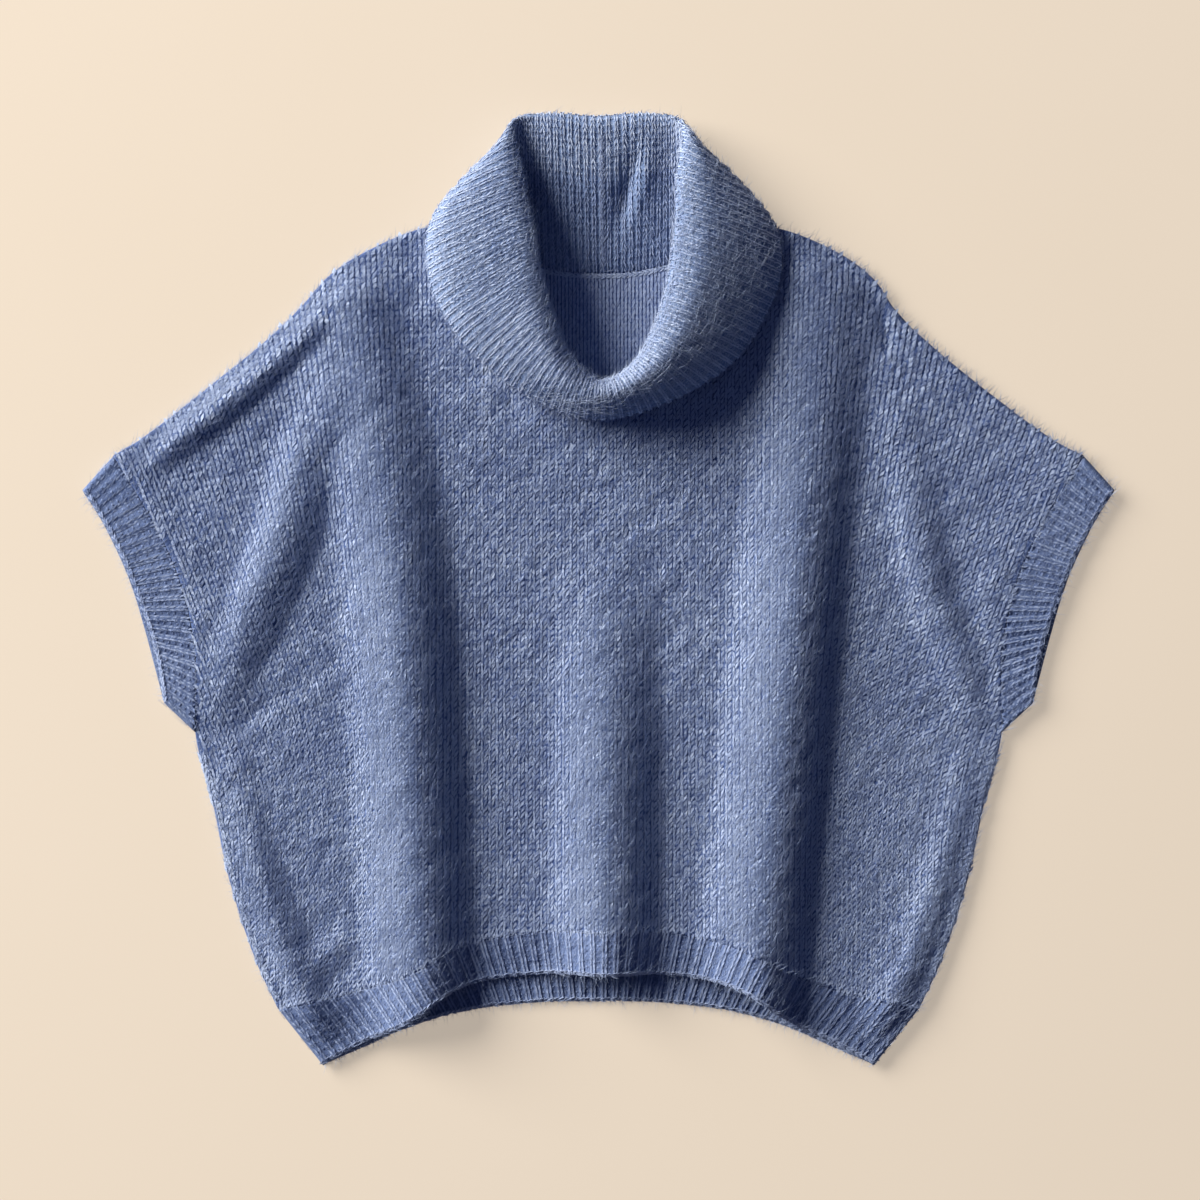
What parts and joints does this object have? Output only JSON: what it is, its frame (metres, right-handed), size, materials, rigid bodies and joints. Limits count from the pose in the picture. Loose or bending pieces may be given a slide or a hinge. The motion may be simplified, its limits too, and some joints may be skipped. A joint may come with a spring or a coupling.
{
  "type": "knitted poncho sweater",
  "caption": "Oversized knitted poncho sweater with a deep fold-over collar, ribbed cuffs and a curved ribbed hem, laid flat.",
  "frame": {"origin": "centre of the laid garment's box, on the surface it lies on", "axes": "+X to the right across the laid garment, +Y up to the collar, +Z off the surface"},
  "size_m": [0.8248, 0.7598, 0.0626],
  "materials": {
    "body_knit": "brushed mohair-blend stockinette in denim blue, matt with a pale halo of fibres",
    "rib_knit": "single rib in the same brushed yarn, raised columns over a recessed ground"
  },
  "bodies": {
    "root": {"back_panel": "body_knit", "front_panel": "body_knit", "hem_band_back": "rib_knit", "hem_band_front": "rib_knit", "cuff_left": "rib_knit", "cuff_right": "rib_knit", "collar": "rib_knit"}
  },
  "joints": []
}
